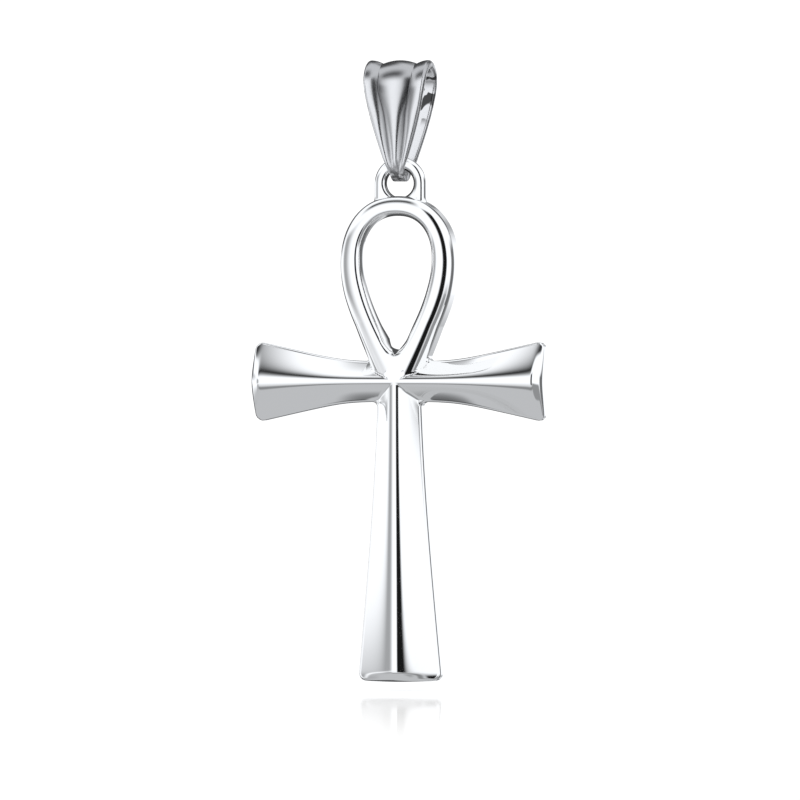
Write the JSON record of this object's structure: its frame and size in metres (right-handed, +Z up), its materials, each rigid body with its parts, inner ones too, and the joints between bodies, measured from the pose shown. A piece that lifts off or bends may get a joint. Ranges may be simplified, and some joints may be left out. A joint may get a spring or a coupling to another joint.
{
  "type": "ankh pendant",
  "caption": "Faceted metal ankh with flared arms and a teardrop loop, hung by a soldered ring from a closed, fluted bail.",
  "frame": {"origin": "the chain's seat: the middle of the top of the hollow inside the bail", "axes": "+Z up, along the hanging pendant; -Y is the faceted front and +Y the flat back; +X to the right as seen from the front"},
  "size_m": [0.0224, 0.0046, 0.0466],
  "materials": {
    "silver": "polished sterling silver"
  },
  "bodies": {
    "bail": {"bail": "silver"},
    "ankh": {"ankh": "silver"}
  },
  "joints": [
    {"name": "ankh_swing", "type": "hinge", "parent": "bail", "child": "ankh", "pos_m": [0, 0, -0.00692], "axis": [1, 0, 0], "range_deg": [-95, 95]}
  ]
}
